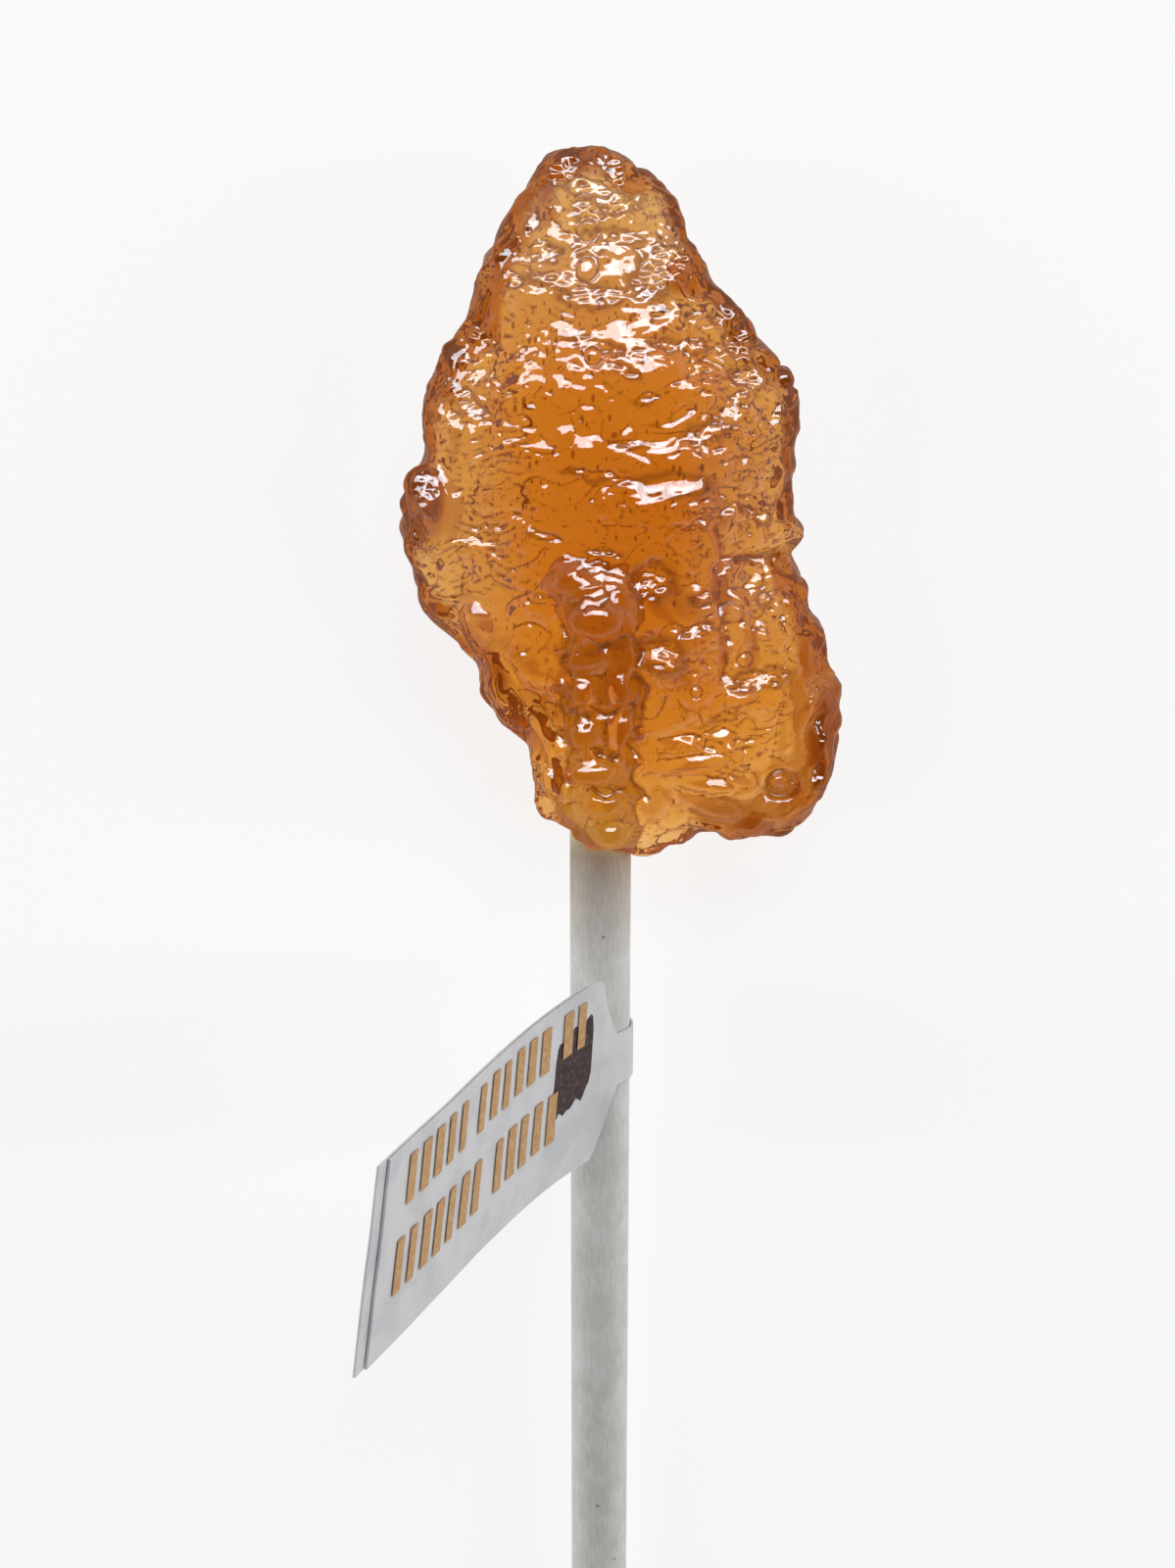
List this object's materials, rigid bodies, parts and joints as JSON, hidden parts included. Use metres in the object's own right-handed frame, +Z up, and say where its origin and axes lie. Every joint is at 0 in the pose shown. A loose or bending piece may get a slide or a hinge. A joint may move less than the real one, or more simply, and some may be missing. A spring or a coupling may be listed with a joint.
{
  "type": "lollipop",
  "caption": "Rough amber boiled-sugar lollipop on a rolled-paper stick, with a folded paper flag round the stick, lying on its back.",
  "frame": {"origin": "centre of the bounding box, on the ground under the lollipop", "axes": "+Y along the lollipop towards the candy's tip, +Z up out of the shown side, +X to the right of the shown side"},
  "size_m": [0.0316, 0.129, 0.0349],
  "materials": {
    "amber_candy": "clear boiled sugar, glossy and wrinkled",
    "rolled_paper": "matte rolled paper",
    "label_paper": "satin coated paper"
  },
  "bodies": {
    "root": {"candy": "amber_candy", "stick": "rolled_paper", "label": "label_paper"}
  },
  "joints": []
}
